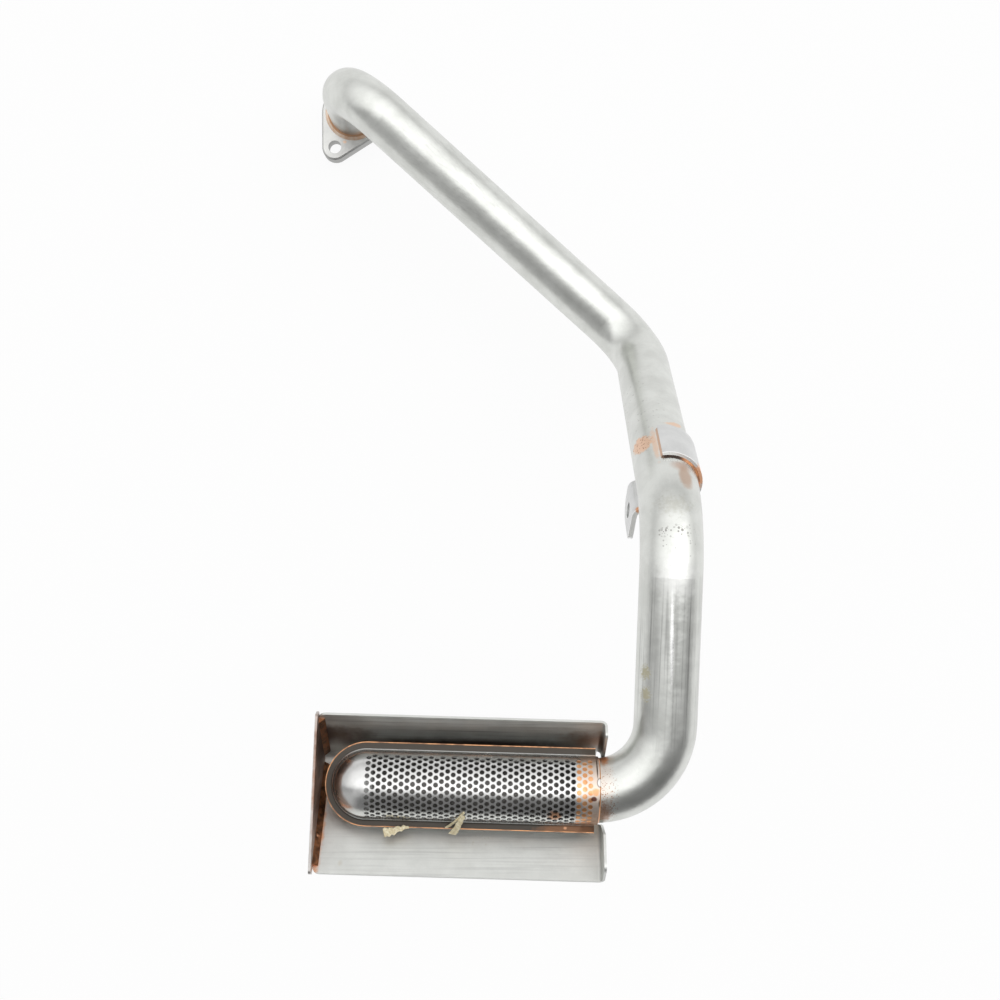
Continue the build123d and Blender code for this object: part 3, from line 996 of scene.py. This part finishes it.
@dataclass
class Splinter:
    """One pale, fibrous splinter: a thin bowed strip with torn ends."""

    name: str
    start: Point
    end: Point
    outward: Point
    width: float
    end_width: float
    thickness: float
    bow: float = 0.0008
    cuts: int = 9
    rows: int = 4
    rounded_share: float = 0.2
    tears: tuple[float, ...] = (
        0.0, 0.12, -0.10, 0.08, -0.14, 0.05, 0.10, -0.06, 0.12, 0.0, -0.08, 0.1,
    )

    def _pick(self, strip: Object, low: float, high: float) -> None:
        """Selects the strip's points between two places along it and goes to edit mode.

        Args:
            strip: the strip, lying along X.
            low: the first place along it.
            high: the last place along it.
        """
        bpy.ops.object.mode_set(mode="OBJECT")
        for part in (strip.data.polygons, strip.data.edges, strip.data.vertices):
            part.foreach_set("select", [False] * len(part))
        for vertex in strip.data.vertices:
            vertex.select = low <= vertex.co.x <= high
        bpy.ops.object.mode_set(mode="EDIT")

    def _tear(self, strip: Object, length: float) -> None:
        """Widens, sways and lifts the strip's columns of points one by one.

        Args:
            strip: the strip, lying along X.
            length: how long it is.
        """
        bpy.ops.object.mode_set(mode="EDIT")
        bpy.context.tool_settings.mesh_select_mode = (True, False, False)
        step = length / (self.cuts + 1)
        for column in range(self.cuts + 2):
            place = -length / 2 + column * step
            share = column / (self.cuts + 1)
            tear = self.tears[column % len(self.tears)]
            self._pick(strip, place - step * 0.3, place + step * 0.3)
            lift = self.bow * math.sin(math.pi * share)
            narrow = 1.0 + (self.end_width / self.width - 1.0) * share + abs(tear)
            bpy.ops.transform.resize(value=(1.0, narrow, 1.0), center_override=(place, 0.0, 0.0))
            bpy.ops.transform.translate(value=(0.0, tear * self.width, lift))
        bpy.ops.object.mode_set(mode="OBJECT")

    def build(self, material: Material) -> None:
        """Makes the splinter and lays it in its place.

        Args:
            material: what it is made of.
        """
        start, end = Vector(self.start), Vector(self.end)
        along = (end - start).normalized()
        across = Vector(self.outward).cross(along).normalized()
        out = along.cross(across)
        length = (end - start).length
        bpy.ops.object.select_all(action="DESELECT")
        bpy.ops.mesh.primitive_grid_add(
            x_subdivisions=self.cuts + 1, y_subdivisions=self.rows, size=1.0
        )
        strip = bpy.context.object
        strip.name = self.name
        strip.scale = (length, self.width, 1.0)
        bpy.ops.object.transform_apply(location=False, rotation=False, scale=True)
        self._tear(strip, length)
        turn = Matrix((along, across, out)).transposed().to_4x4()
        strip.matrix_world = Matrix.Translation((start + end) / 2) @ turn
        bpy.ops.object.transform_apply(location=True, rotation=True, scale=True)
        wall = strip.modifiers.new("wall", "SOLIDIFY")
        wall.thickness = self.thickness
        wall.offset = 0.0
        edge = strip.modifiers.new("edge", "BEVEL")
        edge.width = self.thickness * self.rounded_share
        edge.segments = 1
        for modifier in ("wall", "edge"):
            bpy.ops.object.modifier_apply(modifier=modifier)
        strip.data.materials.append(material)
        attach(strip, "root")
        log.info("laid %s", self.name)


@dataclass
class Residue:
    """Pale splinters caught on the strainer's lower lip."""

    pale: Colour = (0.88, 0.82, 0.62)
    deep: Colour = (0.58, 0.48, 0.28)
    roughness: float = 0.7
    fibre_turn: Point = (0.0, 0.0, 0.9)
    cloud_scale: float = 900.0
    bump: float = 0.0003
    lip_normal: Point = (0.004, 0.14, 0.99)
    flank_normal: Point = (0.0, -0.75, 0.66)

    def _fibre(self, effects: Effects) -> Material:
        """Builds the splinters' dry, fibrous look.

        Args:
            effects: the shared node groups.

        Returns:
            The material.
        """
        pen = SurfacePen("dry_fibre", effects)
        turned = pen.node("ShaderNodeMapping", vector_type="POINT")
        pen.feed(turned.inputs["Vector"], pen.place)
        turned.inputs["Rotation"].default_value = self.fibre_turn
        grain = pen.group(effects.grain, Position=pen.place, Lines=turned.outputs["Vector"])
        cloud = pen.noise(pen.place, self.cloud_scale, 3.0, 0.6)
        fibres = pen.fade(grain.outputs["Line"], 0.2, 0.6)
        tone = pen.math("MULTIPLY", pen.fade(cloud, 0.3, 0.7), fibres)
        colour = pen.mix(tone, self.deep, self.pale)
        pen.surface(colour, self.roughness, 0.0, pen.bump(cloud, self.bump, strength=0.7))
        return pen.material

    def build(self, frame: dict, effects: Effects) -> None:
        """Makes the splinters.

        Args:
            effects: the shared node groups.
        """
        fibre = self._fibre(effects)
        for splinter in (
            Splinter("splinter_blunt", (0.0495, -0.5133, 0.2785), (0.0645, -0.5098, 0.2772),
                     self.lip_normal, width=0.0052, end_width=0.0012, thickness=0.0017, bow=0.0004),
            Splinter("splinter_thin", (0.0978, -0.4985, 0.2888), (0.0868, -0.5103, 0.2774),
                     self.flank_normal, width=0.0013, end_width=0.0017, thickness=0.0006),
            Splinter("splinter_wide", (0.0972, -0.5010, 0.2868), (0.0905, -0.5141, 0.2778),
                     self.flank_normal, width=0.0024, end_width=0.0046, thickness=0.0007),
        ):
            splinter.build(fibre)


@dataclass(frozen=True)
class Glow:
    """A lighter part of the surroundings: it starts and is full by the cosine from its middle."""

    towards: Point
    start: float
    full: float
    strength: float


@dataclass
class Studio:
    """The floor, the lamp, the surroundings and the camera."""

    camera_at: Point = (0.119, -0.3143, 1.0252)
    sensor_mm: float = 36.0
    lens_mm: float = 45.0
    clip: Span = (0.05, 50.0)
    floor_drop: float = 0.006
    floor_size: float = 60.0
    floor_tone: Colour = (0.85, 0.85, 0.85)
    floor_glow: float = 0.93
    softbox_at: Point = (0.84, -0.10, 1.26)
    softbox_aim: Point = (0.12, -0.30, 0.20)
    softbox_size: Span = (0.7, 0.6)
    softbox_power: float = 1.2
    level: float = 1.42
    horizon: float = 0.46
    overhead: float = 0.50
    overhead_z: Span = (0.0, 0.85)
    near_dark: float = 0.13
    near_y: Span = (-0.45, -0.18)
    left_dark: float = 0.26
    left_x: Span = (-0.30, -0.70)
    left_y: Span = (-0.22, -0.38)
    far_dark: float = 0.13
    lit_y: Span = (-0.15, 0.04)
    lit_glows: tuple[Glow, ...] = (
        Glow((0.800, 0.160, 0.578), start=0.78, full=0.95, strength=0.26),
        Glow((0.380, 0.060, 0.923), start=0.84, full=0.97, strength=0.22),
        Glow((-0.280, 0.050, 0.959), start=0.88, full=0.98, strength=0.14),
    )
    near_glows: tuple[Glow, ...] = (
        Glow((0.0, -0.120, 0.9928), start=0.974, full=0.994, strength=0.55),
        Glow((-0.400, -0.290, 0.870), start=0.94, full=0.985, strength=0.20),
    )

    def build(self) -> None:
        """Makes the whole studio."""
        self._camera()
        self._softbox()
        self._world()
        self._floor()

    def _camera(self) -> None:
        """Places the camera, looking straight down on the part."""
        lens = bpy.data.cameras.new("camera")
        lens.sensor_width = self.sensor_mm
        lens.sensor_fit = "HORIZONTAL"
        lens.lens = self.lens_mm
        lens.clip_start, lens.clip_end = self.clip
        camera = bpy.data.objects.new("camera", lens)
        camera.location = self.camera_at
        bpy.context.scene.collection.objects.link(camera)
        bpy.context.scene.camera = camera

    def _softbox(self) -> None:
        """Hangs one soft lamp high on the riser's side, where the brightest glow is."""
        lamp = bpy.data.lights.new("softbox", "AREA")
        lamp.shape = "RECTANGLE"
        lamp.size, lamp.size_y = self.softbox_size
        lamp.energy = self.softbox_power
        box = bpy.data.objects.new("softbox", lamp)
        box.location = self.softbox_at
        towards = Vector(self.softbox_aim) - Vector(self.softbox_at)
        box.rotation_euler = towards.to_track_quat("-Z", "Y").to_euler()
        bpy.context.scene.collection.objects.link(box)

    @staticmethod
    def _add_glows(pen: NodePen, looking: Socket, light: object, glows: tuple[Glow, ...]) -> Socket:
        """Adds some glows to the light.

        Args:
            pen: draws in the world.
            looking: the direction that is looked in.
            light: the light so far.
            glows: the glows to add.

        Returns:
            The brighter light's socket.
        """
        for glow in glows:
            facing = pen.vector("DOT_PRODUCT", looking, glow.towards)
            shine = pen.fade(facing, glow.start, glow.full)
            light = pen.math("ADD", light, pen.math("MULTIPLY", shine, glow.strength))
        return light

    def _world(self) -> None:
        """Surrounds the part with a soft tent, bright overhead and away; the camera sees white."""
        world = bpy.data.worlds.new("surroundings")
        bpy.context.scene.world = world
        world.use_nodes = True
        pen = NodePen(world.node_tree)
        looking = pen.node("ShaderNodeTexCoord").outputs["Generated"]
        split = pen.node("ShaderNodeSeparateXYZ")
        pen.feed(split.inputs["Vector"], looking)
        across, away, up = (split.outputs[axis] for axis in "XYZ")
        height = pen.math("MULTIPLY", pen.fade(up, *self.overhead_z), self.overhead)
        light = pen.math("ADD", height, self.horizon)
        light = self._add_glows(pen, looking, light, self.lit_glows)
        left = pen.math("MULTIPLY", pen.fade(across, *self.left_x), pen.fade(away, *self.left_y))
        dark = pen.math("MULTIPLY", pen.fade(away, *self.near_y), self.near_dark)
        dark = pen.math("ADD", dark, pen.math("MULTIPLY", left, self.left_dark))
        dark = pen.math("ADD", dark, self.far_dark)
        lit = pen.fade(away, *self.lit_y)
        gain = pen.math("MULTIPLY", pen.math("SUBTRACT", light, dark), lit)
        gain = self._add_glows(pen, looking, gain, self.near_glows)
        light = pen.math("MULTIPLY", pen.math("ADD", dark, gain), self.level)
        lack = pen.math("SUBTRACT", 1.0, light)
        white = pen.math("MULTIPLY", pen.seen_by(Ray.CAMERA), lack)
        tent = pen.node("ShaderNodeBackground")
        tent.inputs["Color"].default_value = WHITE
        pen.feed(tent.inputs["Strength"], pen.math("ADD", light, white))
        out = pen.node("ShaderNodeOutputWorld")
        pen.feed(out.inputs["Surface"], tent.outputs["Background"])

    def _floor(self) -> None:
        """Lays a white floor just under the flange; it keeps a faint shadow."""
        bpy.ops.object.select_all(action="DESELECT")
        bpy.ops.mesh.primitive_plane_add(
            size=self.floor_size, location=(0.0, 0.0, -self.floor_drop)
        )
        floor = bpy.context.object
        floor.name = "floor"
        material = bpy.data.materials.new("white_floor")
        material.use_nodes = True
        pen = NodePen(material.node_tree)
        paper = pen.node("ShaderNodeBsdfDiffuse")
        paper.inputs["Color"].default_value = (*self.floor_tone, 1.0)
        glow = pen.node("ShaderNodeEmission")
        glow.inputs["Color"].default_value = WHITE
        seen = pen.seen_by(Ray.CAMERA, Ray.GLOSSY, Ray.TRANSMISSION)
        blend = pen.node("ShaderNodeMixShader")
        pen.feed(blend.inputs["Fac"], pen.math("MULTIPLY", seen, self.floor_glow))
        pen.feed(blend.inputs[1], paper.outputs["BSDF"])
        pen.feed(blend.inputs[2], glow.outputs["Emission"])
        out = pen.node("ShaderNodeOutputMaterial")
        pen.feed(out.inputs["Surface"], blend.outputs["Shader"])
        floor.data.materials.append(material)
        floor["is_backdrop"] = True


def plain_bounds() -> list[list[float]]:
    """Gives the whole object's box as plain lists."""
    return [list(corner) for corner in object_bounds()]


def main() -> None:
    """Builds the whole look, piece by piece."""
    logging.basicConfig(level=logging.INFO, format="%(message)s")
    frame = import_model()
    bpy.ops.object.select_all(action="DESELECT")
    effects = Effects()
    for piece in (Pipe(), Flange(), Bracket(), Strainer(), Shield(), Residue()):
        piece.build(frame, effects)
    Studio().build()
    bpy.context.scene.view_settings.view_transform = "Standard"
    log.info("box sides %s", [round(high - low, 4) for low, high in zip(*plain_bounds())])


if __name__ == "__main__":
    main()
